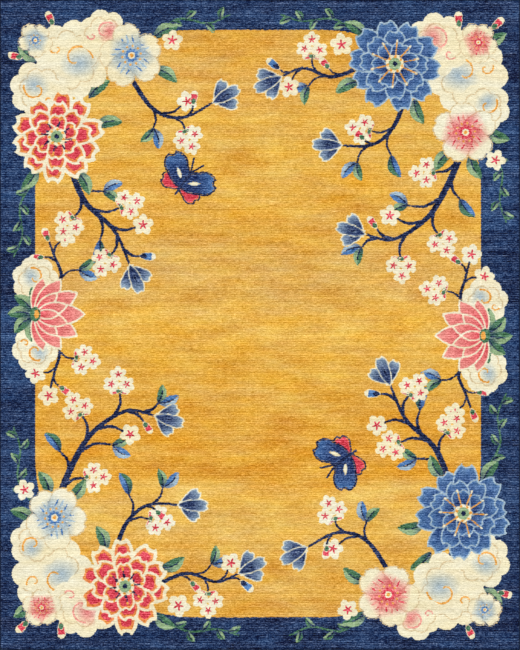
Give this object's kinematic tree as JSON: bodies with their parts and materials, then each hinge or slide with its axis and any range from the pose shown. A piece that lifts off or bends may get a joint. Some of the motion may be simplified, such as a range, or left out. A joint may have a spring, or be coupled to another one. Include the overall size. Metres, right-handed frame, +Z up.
{
  "type": "hand-tufted rug",
  "caption": "Large flat rectangular hand-tufted wool rug with a serged edge, lying on a floor: a gold centre inside a wide navy border with flower sprays.",
  "frame": {"origin": "middle of the flat underside", "axes": "+Y along the rug's length, towards the picture's upper edge; +Z up out of the pile"},
  "size_m": [2.438, 3.048, 0.014],
  "materials": {
    "wool_pile": "cut wool pile, matte",
    "serging_yarn": "whipped wool yarn, matte"
  },
  "bodies": {
    "root": {"tufted_panel": "wool_pile", "serging_head": "serging_yarn", "serging_foot": "serging_yarn", "serging_left": "serging_yarn", "serging_right": "serging_yarn"}
  },
  "joints": []
}
